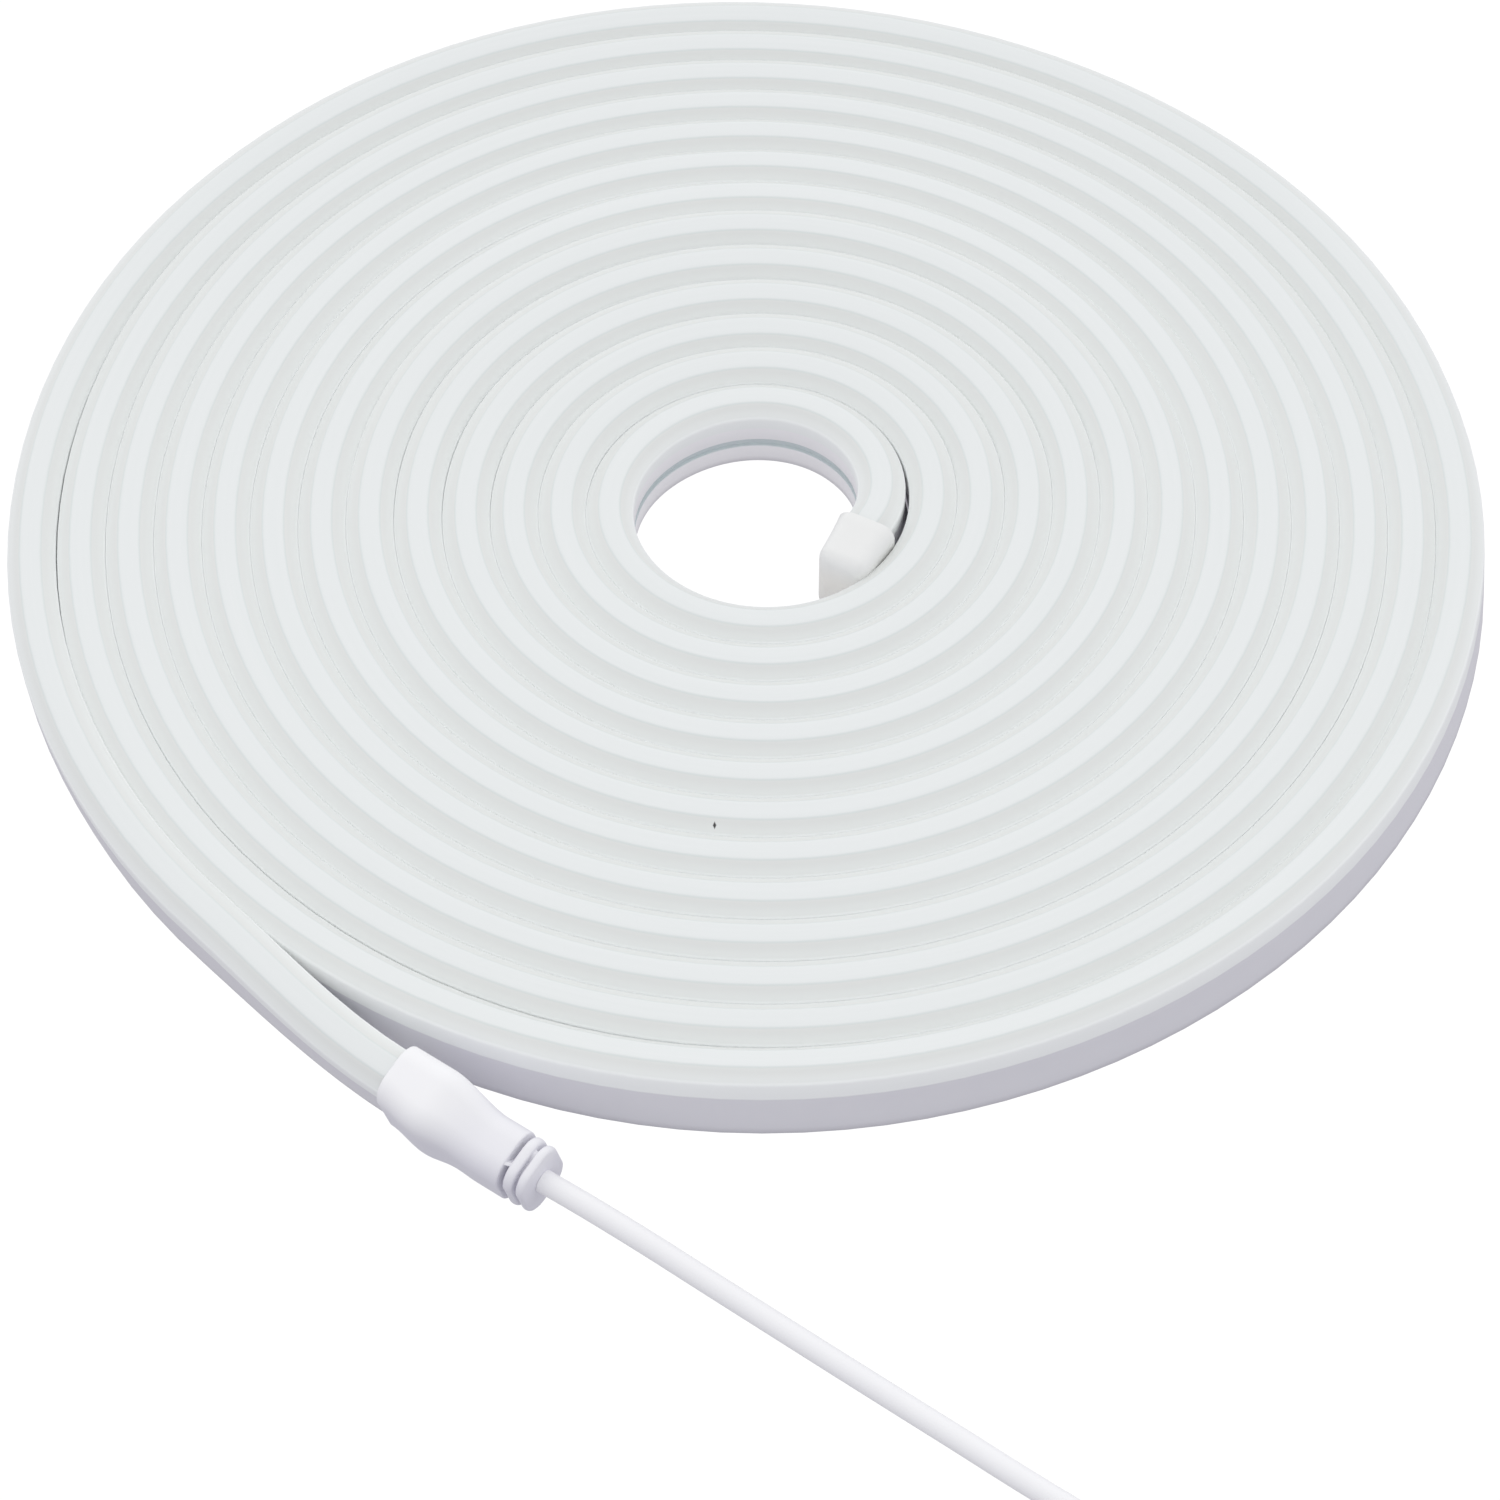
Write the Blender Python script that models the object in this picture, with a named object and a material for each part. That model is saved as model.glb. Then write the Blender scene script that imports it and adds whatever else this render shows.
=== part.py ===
# A flexible LED rope light, wound flat on the floor, with its end cap, power connector and power cord.
# Metres, +Z up. The floor is at Z = 0 and the origin is under the middle of the strip, cap and connector.

import math

import bmesh
import bpy
from mathutils import Matrix, Vector

# Light strip: one extrusion, an opaque white base with a milky diffuser on top
STRIP_WIDTH = 0.0140
BASE_HEIGHT = 0.0166
LIP_HEIGHT = 0.0029
DOME_HEIGHT = 0.0032
DIFFUSER_WIDTH = 0.0062
FOOT_CHAMFER = 0.0012
GROOVE_DROP = 0.0063
GROOVE_HEIGHT = 0.0026
GROOVE_DEPTH = 0.0010

# How the strip is wound, anticlockwise from the end cap outwards
START_ANGLE = math.radians(-15.0)
START_RADIUS = 0.0365
TURNS = 12.6667
SEGMENTS_PER_TURN = 48
CURL_TURN = 0.1667
CURL_GAP = 0.0026
CURL_BEND = math.radians(-13.0)

# The outermost turn leans in at the top: its feet stand out by this much, from a bit before it is outermost
OUTER_SPLAY = 0.0034
SPLAY_TURN = 0.30

# The free outer end, which leaves the coil and rolls over towards the outside
TAIL_LENGTH = 0.076
TAIL_BEND = math.radians(10.0)
TAIL_ROLL = math.radians(15.0)
TAIL_SEGMENTS = 8

# How far each end of the strip is pushed into the piece on it, and the room around it
CAP_SOCKET = 0.0070
CONNECTOR_SOCKET = 0.0080
SOCKET_CLEARANCE = 0.0003
PIECE_GAP = 0.0003

# End cap
CAP_LENGTH = 0.0215
CAP_WALL = 0.0012
CAP_CORNER = 0.0042
CAP_TIP_DRAFT = 0.0010
CAP_TIP_ROUND = 0.0016

# Power connector, its length measured from the mouth to the slotted strain relief
CONNECTOR_LENGTH = 0.0388
CONNECTOR_WALL = 0.0020
CONNECTOR_CORNER = 0.0062
CONNECTOR_SWELL = 0.0020
CONNECTOR_REAR_WIDTH = 0.0176
CONNECTOR_REAR_HEIGHT = 0.0200
CONNECTOR_REAR_SHIFT = 0.0016
RELIEF_SLOT = 0.0018
RELIEF_RING = 0.0030
RELIEF_STEP = 0.0008
RELIEF_CORE_RADIUS = 0.0055
RELIEF_CORNER = 0.0050
RELIEF_TIE_WIDTH = 0.0042
RELIEF_TIE_DEPTH = 0.0030

# Power cord. Its route is a chosen list of points after the connector, in metres.
CORD_DIAMETER = 0.0066
CORD_BEVEL_STEPS = 3
CORD_POINT_SPACING = 0.0140
CORD_ROUTE = [
    (-0.0412, -0.2303, 0.0105),
    (-0.0260, -0.2402, 0.0088),
    (-0.0100, -0.2506, 0.0063),
    (0.0060, -0.2613, 0.0043),
    (0.0215, -0.2723, 0.0034),
    (0.0370, -0.2836, 0.0034),
    (0.0524, -0.2949, 0.0034),
    (0.0734, -0.3104, 0.0034),
    (0.0907, -0.3230, 0.0034),
]

# The rest of the cord, wound into a coil of two layers beside the light, and the end that leaves it
CORD_COIL_CENTRE = (0.0846, -0.3740)
CORD_COIL_RADIUS = 0.0365
CORD_COIL_TURNS_ACROSS = 3.7
CORD_COIL_LAYERS = 2
CORD_COIL_CORNER = 0.0026
CORD_COIL_SEGMENTS = 40
CORD_END_ROUTE = [
    (0.0596, -0.4194, 0.0099),
    (0.0480, -0.4194, 0.0098),
    (0.0370, -0.4194, 0.0096),
    (0.0260, -0.4194, 0.0095),
]

# Plug: a moulded body with a neck, and two flat blades
PLUG_NECK_LENGTH = 0.0160
PLUG_NECK_DIAMETER = 0.0098
PLUG_NECK_GROWTH = 0.0030
PLUG_LENGTH = 0.0290
PLUG_SHOULDER = 0.0035
PLUG_TAPER = 0.0072
PLUG_REAR_WIDTH = 0.0192
PLUG_REAR_HEIGHT = 0.0164
PLUG_WIDTH = 0.0240
PLUG_HEIGHT = 0.0190
PLUG_CORNER = 0.0055
PLUG_EDGE = 0.0010
BLADE_LENGTH = 0.0175
BLADE_ROOT = 0.0060
BLADE_HEIGHT = 0.0063
BLADE_THICKNESS = 0.0015
BLADE_SPACING = 0.0127
BLADE_TIP_CHAMFER = 0.0008

# Points per quarter circle on the rounded corners of the cap, connector and plug
CORNER_POINTS = 5

WALL_TOP = BASE_HEIGHT + LIP_HEIGHT
STRIP_HEIGHT = WALL_TOP + DOME_HEIGHT


def clear_scene():
    for item in list(bpy.data.objects):
        bpy.data.objects.remove(item, do_unlink=True)


def make_material(name, colour, roughness, metallic=0.0):
    material = bpy.data.materials.new(name)
    material.use_nodes = True
    shader = material.node_tree.nodes["Principled BSDF"]
    shader.inputs["Base Color"].default_value = (*colour, 1.0)
    shader.inputs["Roughness"].default_value = roughness
    shader.inputs["Metallic"].default_value = metallic
    return material


def add_object(name, mesh_source, material, smooth_angle=None):
    mesh = bpy.data.meshes.new(name)
    mesh_source.to_mesh(mesh)
    mesh_source.free()
    if smooth_angle is not None:
        mesh.shade_smooth()
        mesh.set_sharp_from_angle(angle=smooth_angle)
    mesh.materials.append(material)
    item = bpy.data.objects.new(name, mesh)
    bpy.context.collection.objects.link(item)
    return item


def add_guide(name, mesh_source):
    # A shape that only cuts or joins another, and is no piece of its own.
    mesh = bpy.data.meshes.new(name)
    mesh_source.to_mesh(mesh)
    mesh_source.free()
    guide = bpy.data.objects.new(name, mesh)
    bpy.context.collection.objects.link(guide)
    guide.hide_render = True
    guide.display_type = "WIRE"
    return guide


def combine(item, guide, operation):
    step = item.modifiers.new(guide.name, "BOOLEAN")
    step.operation = operation
    step.solver = "EXACT"
    step.object = guide


class Place:
    # A point on the floor under the strip's centre line, with the way it heads, its roll, its lift and
    # how far its feet stand out.

    def __init__(self, x, y, heading, roll=0.0, lift=0.0, splay=0.0):
        self.x = x
        self.y = y
        self.heading = heading
        self.roll = roll
        self.lift = lift
        self.splay = splay

    def ahead(self, distance):
        return Place(
            self.x + distance * math.cos(self.heading),
            self.y + distance * math.sin(self.heading),
            self.heading, self.roll, self.lift, self.splay,
        )

    def world(self, across, up, along=0.0):
        # across is measured away from the middle of the coil. The roll turns about the outer foot,
        # and the splay is all of it at the floor and none at the top.
        pivot = STRIP_WIDTH / 2
        offset = across - pivot + self.splay * (1.0 - up / STRIP_HEIGHT)
        side = pivot + offset * math.cos(self.roll) + up * math.sin(self.roll)
        height = self.lift + up * math.cos(self.roll) - offset * math.sin(self.roll)
        return Vector((
            self.x + side * math.sin(self.heading) + along * math.cos(self.heading),
            self.y - side * math.cos(self.heading) + along * math.sin(self.heading),
            height,
        ))


def strip_outline():
    # The strip's section, clockwise seen from the way it heads, as named (across, up) points.
    half = STRIP_WIDTH / 2
    band = DIFFUSER_WIDTH / 2
    groove_top = BASE_HEIGHT - GROOVE_DROP
    groove_bottom = groove_top - GROOVE_HEIGHT
    return {
        "shoulder_in": (-half, WALL_TOP),
        "band_in": (-band, STRIP_HEIGHT),
        "band_out": (band, STRIP_HEIGHT),
        "shoulder_out": (half, WALL_TOP),
        "foot_out": (half, FOOT_CHAMFER),
        "base_out": (half - FOOT_CHAMFER, 0.0),
        "base_in": (-half + FOOT_CHAMFER, 0.0),
        "foot_in": (-half, FOOT_CHAMFER),
        "groove_bottom": (-half, groove_bottom),
        "groove_bottom_deep": (-half + GROOVE_DEPTH, groove_bottom),
        "groove_top_deep": (-half + GROOVE_DEPTH, groove_top),
        "groove_top": (-half, groove_top),
    }


TOP_EDGES = ["shoulder_in", "band_in", "band_out", "shoulder_out"]
BOTTOM_EDGES = ["foot_out", "base_out", "base_in", "foot_in"]
GROOVE_EDGES = ["foot_in", "groove_bottom", "groove_bottom_deep", "groove_top_deep", "groove_top", "shoulder_in"]
GROOVE_END = ["groove_bottom", "groove_bottom_deep", "groove_top_deep", "groove_top"]


def coil_steps():
    return round(TURNS * SEGMENTS_PER_TURN)


def curl_steps():
    return round(CURL_TURN * SEGMENTS_PER_TURN)


def coil_place(step):
    # The strip's place a number of steps from the cap. Its first steps curl in, clear of the next turn,
    # and rise by the wall of the cap that lies on the floor.
    turn = step / SEGMENTS_PER_TURN
    angle = START_ANGLE + math.tau * turn
    curl = max(0.0, 1.0 - step / curl_steps()) ** 2
    radius = START_RADIUS + STRIP_WIDTH * turn - CURL_GAP * curl
    heading = angle + math.pi / 2 + CURL_BEND * curl
    lift = (CAP_WALL + SOCKET_CLEARANCE) * curl
    splay = OUTER_SPLAY * smooth((turn - TURNS + 1.0 + SPLAY_TURN) / SPLAY_TURN)
    return Place(radius * math.cos(angle), radius * math.sin(angle), heading, 0.0, lift, splay)


def smooth(value):
    value = min(1.0, max(0.0, value))
    return value * value * (3.0 - 2.0 * value)


def tail_places():
    # The free end turns a little outwards, straightens up, rolls over, and rises until the connector on it
    # just clears the floor.
    place = coil_place(coil_steps())
    place.heading -= math.atan(STRIP_WIDTH / math.tau / math.hypot(place.x, place.y))
    step = TAIL_LENGTH / TAIL_SEGMENTS
    places = []
    for index in range(1, TAIL_SEGMENTS + 1):
        share = smooth(index / TAIL_SEGMENTS)
        place = place.ahead(step)
        place.heading += TAIL_BEND / TAIL_SEGMENTS
        place.roll = TAIL_ROLL * share
        place.splay = OUTER_SPLAY * (1.0 - share)
        places.append(place)
    lowest = min(point.z for section in connector_sections(place) for point in section)
    for index, place in enumerate(places, start=1):
        place.lift = -lowest * smooth(index / TAIL_SEGMENTS)
    return places


def footprint_shift():
    # From the coil's axis to the middle of the floor area of the strip, cap and connector.
    corners = []
    for step in range(coil_steps() - SEGMENTS_PER_TURN, coil_steps() + 1):
        corners.append(coil_place(step).world(STRIP_WIDTH / 2, 0.0))
    corners += [point for section in connector_sections(tail_places()[-1]) for point in section]
    xs = [corner.x for corner in corners]
    ys = [corner.y for corner in corners]
    return Vector((-(min(xs) + max(xs)) / 2, -(min(ys) + max(ys)) / 2, 0.0))


def build_strip(material):
    # The coil is one solid: each turn shares the line where it touches the turn inside it.
    # Its two ends are free, and run on into the sockets of the cap and the connector.
    outline = strip_outline()
    first = coil_place(0)
    tail = tail_places()
    places = [first.ahead(-CAP_SOCKET + SOCKET_CLEARANCE)]
    places += [coil_place(step) for step in range(coil_steps() + 1)]
    places += tail
    places.append(tail[-1].ahead(CONNECTOR_SOCKET - SOCKET_CLEARANCE))
    touch_first = 1 + SEGMENTS_PER_TURN + curl_steps()
    touch_last = 1 + coil_steps()

    def touches(index):
        return touch_first <= index <= touch_last

    solid = bmesh.new()
    rows = []
    for index, place in enumerate(places):
        row = {}
        if touches(index):
            inner = rows[index - SEGMENTS_PER_TURN]
            row["shoulder_in"] = inner["shoulder_out"]
            row["foot_in"] = inner["foot_out"]
        for name, (across, up) in outline.items():
            if name in row or (touches(index) and name.startswith("groove")):
                continue
            row[name] = solid.verts.new(place.world(across, up))
        rows.append(row)

    def ribbon(back, front, names):
        for one, two in zip(names, names[1:]):
            solid.faces.new((back[one], back[two], front[two], front[one]))

    for index in range(len(rows) - 1):
        back, front = rows[index], rows[index + 1]
        ribbon(back, front, TOP_EDGES)
        ribbon(back, front, BOTTOM_EDGES)
        outside = index + SEGMENTS_PER_TURN
        if not (touches(outside) and touches(outside + 1)):
            ribbon(back, front, ["shoulder_out", "foot_out"])
        if not touches(index) and not touches(index + 1):
            ribbon(back, front, GROOVE_EDGES)
        elif not touches(index):
            wall = [back[name] for name in ("foot_in", "groove_bottom", "groove_top", "shoulder_in")]
            solid.faces.new(wall + [front["shoulder_in"], front["foot_in"]])
            solid.faces.new([back[name] for name in GROOVE_END])
        elif not touches(index + 1):
            wall = [front[name] for name in ("shoulder_in", "groove_top", "groove_bottom", "foot_in")]
            solid.faces.new([back["foot_in"], back["shoulder_in"]] + wall)
            solid.faces.new([front[name] for name in reversed(GROOVE_END)])
    solid.faces.new([rows[0][name] for name in reversed(outline)])
    solid.faces.new([rows[-1][name] for name in outline])
    solid.transform(Matrix.Translation(footprint_shift()))
    add_object("light_strip", solid, material, math.radians(25.0))


def rounded_outline(width, height, corner, centre_up):
    # A rounded rectangle as (across, up) points, anticlockwise.
    points = []
    for quarter in range(4):
        turn = quarter * math.pi / 2
        side = 1 if quarter in (0, 3) else -1
        rise = 1 if quarter in (0, 1) else -1
        for index in range(CORNER_POINTS):
            angle = turn + index / (CORNER_POINTS - 1) * math.pi / 2
            points.append((
                side * (width / 2 - corner) + corner * math.cos(angle),
                centre_up + rise * (height / 2 - corner) + corner * math.sin(angle),
            ))
    return points


def loft(sections):
    # One closed skin through sections of equal point counts, with flat ends.
    solid = bmesh.new()
    rings = [[solid.verts.new(point) for point in section] for section in sections]
    for back, front in zip(rings, rings[1:]):
        count = len(back)
        for index in range(count):
            other = (index + 1) % count
            solid.faces.new((back[index], back[other], front[other], front[index]))
    solid.faces.new(list(reversed(rings[0])))
    solid.faces.new(rings[-1])
    bmesh.ops.recalc_face_normals(solid, faces=solid.faces)
    return solid


def strip_socket(place, start, end, clearance):
    # The strip's own section with room all round it, as a solid from start to end along its place.
    middle = Vector((0.0, STRIP_HEIGHT / 2))
    sections = []
    for along in (start, end):
        section = []
        for name, (across, up) in strip_outline().items():
            if name.startswith("groove"):
                continue
            away = Vector((math.copysign(clearance, across), math.copysign(clearance, up - middle.y)))
            section.append(place.world(across + away.x, up + away.y, along))
        sections.append(section)
    return loft(sections)


def cap_sections():
    # From the mouth to the tip. The cap points back along the strip, so along is negative.
    place = coil_place(0)
    width = STRIP_WIDTH + 2 * (CAP_WALL + SOCKET_CLEARANCE)
    height = STRIP_HEIGHT + 2 * (CAP_WALL + SOCKET_CLEARANCE)
    tip_end = CAP_SOCKET - CAP_LENGTH
    stations = [
        (CAP_SOCKET, 0.0, 0.0),
        (0.0, 0.0, 0.0),
        (tip_end + CAP_TIP_ROUND + CAP_TIP_DRAFT, CAP_TIP_DRAFT, 0.0),
        (tip_end + CAP_TIP_ROUND * 0.3, CAP_TIP_DRAFT, CAP_TIP_ROUND * 0.3),
        (tip_end, CAP_TIP_DRAFT, CAP_TIP_ROUND),
    ]
    sections = []
    for along, draft, inset in stations:
        outline = rounded_outline(
            width - 2 * draft - 2 * inset, height - draft - 2 * inset, CAP_CORNER - inset / 2,
            (STRIP_HEIGHT - draft) / 2,
        )
        sections.append([place.world(across, up, along - CAP_SOCKET) for across, up in outline])
    return sections


def build_cap(material):
    shift = Matrix.Translation(footprint_shift())
    body = loft(cap_sections())
    body.transform(shift)
    cap = add_object("end_cap", body, material, math.radians(40.0))
    pocket = strip_socket(coil_place(0), -CAP_SOCKET, CAP_SOCKET, SOCKET_CLEARANCE)
    pocket.transform(shift)
    combine(cap, add_guide("end_cap_socket", pocket), "DIFFERENCE")


def connector_underside():
    return -CONNECTOR_WALL - SOCKET_CLEARANCE


def relief_middle():
    # The height of the cord and the relief's rings, over the strip's underside.
    return connector_underside() + CONNECTOR_REAR_HEIGHT / 2


def connector_sections(place):
    # Rounded sections from the mouth to the cord's end: the body, then rings with slots between them.
    mouth_width = STRIP_WIDTH + 2 * (CONNECTOR_WALL + SOCKET_CLEARANCE)
    mouth_height = STRIP_HEIGHT + 2 * (CONNECTOR_WALL + SOCKET_CLEARANCE)
    rear_width = CONNECTOR_REAR_WIDTH
    rear_height = CONNECTOR_REAR_HEIGHT
    core = 2 * RELIEF_CORE_RADIUS
    stations = [
        (0.0, mouth_width - 0.0012, mouth_height - 0.0006, 0.0),
        (0.0006, mouth_width, mouth_height, 0.0),
        (0.20, mouth_width + CONNECTOR_SWELL * 0.6, mouth_height, CONNECTOR_SWELL * 0.3),
        (0.35, mouth_width + CONNECTOR_SWELL, mouth_height, CONNECTOR_SWELL * 0.5),
        (0.50, mouth_width + CONNECTOR_SWELL * 0.6, mouth_height * 0.96, CONNECTOR_SWELL * 0.3),
        (0.65, rear_width + 0.0010, (mouth_height + rear_height) / 2, CONNECTOR_REAR_SHIFT / 2),
        (0.80, rear_width, rear_height + 0.0004, CONNECTOR_REAR_SHIFT),
        (1.0, rear_width, rear_height, CONNECTOR_REAR_SHIFT),
    ]
    body = []
    for share, width, height, swell in stations:
        along = share if share < 0.01 else share * CONNECTOR_LENGTH
        body.append((along, width, height, min(CONNECTOR_CORNER, width / 2.5), swell))
    along = CONNECTOR_LENGTH
    rings = []
    for index in range(2):
        ring_width = rear_width - RELIEF_STEP * (index + 1)
        ring_height = rear_height - RELIEF_STEP * (index + 1)
        face = along + RELIEF_SLOT
        rings.append((along, core, core, RELIEF_CORE_RADIUS, CONNECTOR_REAR_SHIFT))
        rings.append((face, core, core, RELIEF_CORE_RADIUS, CONNECTOR_REAR_SHIFT))
        rings.append((face, ring_width, ring_height, RELIEF_CORNER, CONNECTOR_REAR_SHIFT))
        along = face + RELIEF_RING
        rings.append((along, ring_width, ring_height, RELIEF_CORNER, CONNECTOR_REAR_SHIFT))
    sections = []
    for distance, width, height, corner, swell in body + rings:
        centre_up = connector_underside() + height / 2
        if distance >= CONNECTOR_LENGTH:
            centre_up = relief_middle()
        outline = rounded_outline(width, height, corner, centre_up)
        sections.append([place.world(across + swell, up, distance) for across, up in outline])
    return sections


def connector_end():
    # The middle of the last ring's face, where the cord comes out.
    place = tail_places()[-1]
    length = CONNECTOR_LENGTH + 2 * (RELIEF_SLOT + RELIEF_RING)
    return place.world(CONNECTOR_REAR_SHIFT, relief_middle(), length) + footprint_shift()


def relief_ties():
    # Blocks that bridge the slots of the strain relief, one on top of the first and two on the second.
    place = tail_places()[-1]
    half_width = CONNECTOR_REAR_WIDTH / 2 - 2 * RELIEF_STEP
    middle = relief_middle()
    top = middle + CONNECTOR_REAR_HEIGHT / 2 - 2 * RELIEF_STEP
    first = CONNECTOR_LENGTH
    second = CONNECTOR_LENGTH + RELIEF_SLOT + RELIEF_RING
    seats = [
        (first, CONNECTOR_REAR_SHIFT, top - RELIEF_TIE_DEPTH / 2, RELIEF_TIE_WIDTH, RELIEF_TIE_DEPTH),
        (second, CONNECTOR_REAR_SHIFT + half_width - RELIEF_TIE_DEPTH / 2, middle,
         RELIEF_TIE_DEPTH, RELIEF_TIE_WIDTH),
        (second, CONNECTOR_REAR_SHIFT - half_width + RELIEF_TIE_DEPTH / 2, middle,
         RELIEF_TIE_DEPTH, RELIEF_TIE_WIDTH),
    ]
    overlap = RELIEF_RING / 4
    ties = []
    for along, across, up, width, height in seats:
        sections = []
        for distance in (along - overlap, along + RELIEF_SLOT + overlap):
            corners = [(-1, -1), (1, -1), (1, 1), (-1, 1)]
            sections.append([
                place.world(across + x * width / 2, up + z * height / 2, distance) for x, z in corners
            ])
        ties.append(loft(sections))
    return ties


def build_connector(material):
    shift = Matrix.Translation(footprint_shift())
    body = loft(connector_sections(tail_places()[-1]))
    body.transform(shift)
    connector = add_object("power_connector", body, material, math.radians(40.0))
    for number, tie in enumerate(relief_ties(), start=1):
        tie.transform(shift)
        combine(connector, add_guide(f"relief_tie_{number}", tie), "UNION")
    pocket = strip_socket(tail_places()[-1], -CONNECTOR_SOCKET, CONNECTOR_SOCKET, SOCKET_CLEARANCE)
    pocket.transform(shift)
    combine(connector, add_guide("connector_socket", pocket), "DIFFERENCE")


def smooth_route(points, spacing):
    # Evenly spaced points read from a smooth curve through the chosen ones.
    chosen = [Vector(point) for point in points]
    ends = [2 * chosen[0] - chosen[1]] + chosen + [2 * chosen[-1] - chosen[-2]]
    fine = [chosen[0]]
    for before, start, end, after in zip(ends, ends[1:], ends[2:], ends[3:]):
        for index in range(1, 13):
            t = index / 12
            fine.append(0.5 * (
                2 * start + (end - before) * t
                + (2 * before - 5 * start + 4 * end - after) * t * t
                + (3 * start - before - 3 * end + after) * t * t * t
            ))
    lengths = [0.0]
    for start, end in zip(fine, fine[1:]):
        lengths.append(lengths[-1] + (end - start).length)
    count = max(2, round(lengths[-1] / spacing) + 1)
    route = []
    piece = 0
    for index in range(count):
        wanted = lengths[-1] * index / (count - 1)
        while piece < len(fine) - 2 and lengths[piece + 1] < wanted:
            piece += 1
        share = (wanted - lengths[piece]) / (lengths[piece + 1] - lengths[piece])
        route.append(fine[piece].lerp(fine[piece + 1], share))
    return route


def build_tube(name, points, material):
    curve = bpy.data.curves.new(name, "CURVE")
    curve.dimensions = "3D"
    curve.bevel_depth = CORD_DIAMETER / 2
    curve.bevel_resolution = CORD_BEVEL_STEPS
    curve.use_fill_caps = True
    spline = curve.splines.new("POLY")
    route = smooth_route(points, CORD_POINT_SPACING)
    spline.points.add(len(route) - 1)
    for point, place in zip(spline.points, route):
        point.co = (*place, 1.0)
    spline.use_smooth = True
    curve.materials.append(material)
    item = bpy.data.objects.new(name, curve)
    bpy.context.collection.objects.link(item)


def cord_start():
    # Just clear of the connector's last ring, in the way that the ring faces.
    heading = tail_places()[-1].heading
    return connector_end() + PIECE_GAP * Vector((math.cos(heading), math.sin(heading), 0.0))


def build_cord_coil(material):
    # The outer shape of the coiled cord: a rounded section turned about an upright axis.
    width = CORD_COIL_TURNS_ACROSS * CORD_DIAMETER
    height = CORD_COIL_LAYERS * CORD_DIAMETER
    profile = rounded_outline(width, height, CORD_COIL_CORNER, height / 2)
    solid = bmesh.new()
    rings = []
    for step in range(CORD_COIL_SEGMENTS):
        angle = math.tau * step / CORD_COIL_SEGMENTS
        centre_x, centre_y = CORD_COIL_CENTRE
        rings.append([
            solid.verts.new((
                centre_x + (CORD_COIL_RADIUS + across) * math.cos(angle),
                centre_y + (CORD_COIL_RADIUS + across) * math.sin(angle),
                up,
            ))
            for across, up in profile
        ])
    count = len(profile)
    for step in range(CORD_COIL_SEGMENTS):
        back, front = rings[step], rings[(step + 1) % CORD_COIL_SEGMENTS]
        for index in range(count):
            other = (index + 1) % count
            solid.faces.new((back[index], front[index], front[other], back[other]))
    bmesh.ops.recalc_face_normals(solid, faces=solid.faces)
    add_object("power_cord_coil", solid, material, math.radians(40.0))


def plug_place(along, across, up):
    # Plug positions, measured from the cord's end the way the blades point (towards -X).
    end_x, end_y, _ = CORD_END_ROUTE[-1]
    return Vector((end_x - PIECE_GAP - along, end_y + across, PLUG_HEIGHT / 2 + up))


def blade_section(along, middle, growth):
    # The upright rectangle of a blade, grown or shrunk all round, at a distance along the plug.
    half_width = BLADE_THICKNESS / 2 + growth
    half_height = BLADE_HEIGHT / 2 + growth
    corners = [(-1, -1), (1, -1), (1, 1), (-1, 1)]
    return [plug_place(along, middle + x * half_width, z * half_height) for x, z in corners]


def plug_sections():
    # The neck, the shoulder, the body and its eased front edge, from the cord to the face.
    neck_end = PLUG_NECK_DIAMETER + PLUG_NECK_GROWTH
    shoulder = PLUG_NECK_LENGTH + PLUG_SHOULDER
    face = PLUG_NECK_LENGTH + PLUG_LENGTH
    stations = [
        (0.0, PLUG_NECK_DIAMETER, PLUG_NECK_DIAMETER, PLUG_NECK_DIAMETER / 2),
        (PLUG_NECK_LENGTH, neck_end, neck_end, neck_end / 2),
        (shoulder, PLUG_REAR_WIDTH, PLUG_REAR_HEIGHT, PLUG_CORNER),
        (shoulder + PLUG_TAPER, PLUG_WIDTH, PLUG_HEIGHT, PLUG_CORNER),
        (face - PLUG_EDGE, PLUG_WIDTH, PLUG_HEIGHT, PLUG_CORNER),
        (face, PLUG_WIDTH - 2 * PLUG_EDGE, PLUG_HEIGHT - 2 * PLUG_EDGE, PLUG_CORNER - PLUG_EDGE),
    ]
    sections = []
    for along, width, height, corner in stations:
        outline = rounded_outline(width, height, corner, 0.0)
        sections.append([plug_place(along, across, up) for across, up in outline])
    return sections


def build_plug(body_material, blade_material):
    face = PLUG_NECK_LENGTH + PLUG_LENGTH
    tip = face + BLADE_LENGTH
    root = face - BLADE_ROOT
    plug = add_object("plug_body", loft(plug_sections()), body_material, math.radians(40.0))
    for number, side in enumerate((-1, 1), start=1):
        middle = side * BLADE_SPACING / 2
        slot = [blade_section(along, middle, SOCKET_CLEARANCE) for along in (root, face + BLADE_ROOT)]
        combine(plug, add_guide(f"blade_slot_{number}", loft(slot)), "DIFFERENCE")
        blade = [
            blade_section(root + PIECE_GAP, middle, 0.0),
            blade_section(tip - BLADE_TIP_CHAMFER, middle, 0.0),
            blade_section(tip, middle, -BLADE_TIP_CHAMFER / 2),
        ]
        add_object(f"plug_blade_{number}", loft(blade), blade_material)


clear_scene()
strip_white = make_material("strip_white", (0.80, 0.82, 0.82), 0.45)
cap_milky = make_material("cap_milky", (0.78, 0.78, 0.79), 0.40)
moulding_white = make_material("moulding_white", (0.86, 0.86, 0.88), 0.42)
cord_white = make_material("cord_white", (0.85, 0.85, 0.87), 0.40)
plug_white = make_material("plug_white", (0.84, 0.84, 0.86), 0.42)
blade_metal = make_material("blade_metal", (0.78, 0.76, 0.72), 0.25, 1.0)

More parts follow.
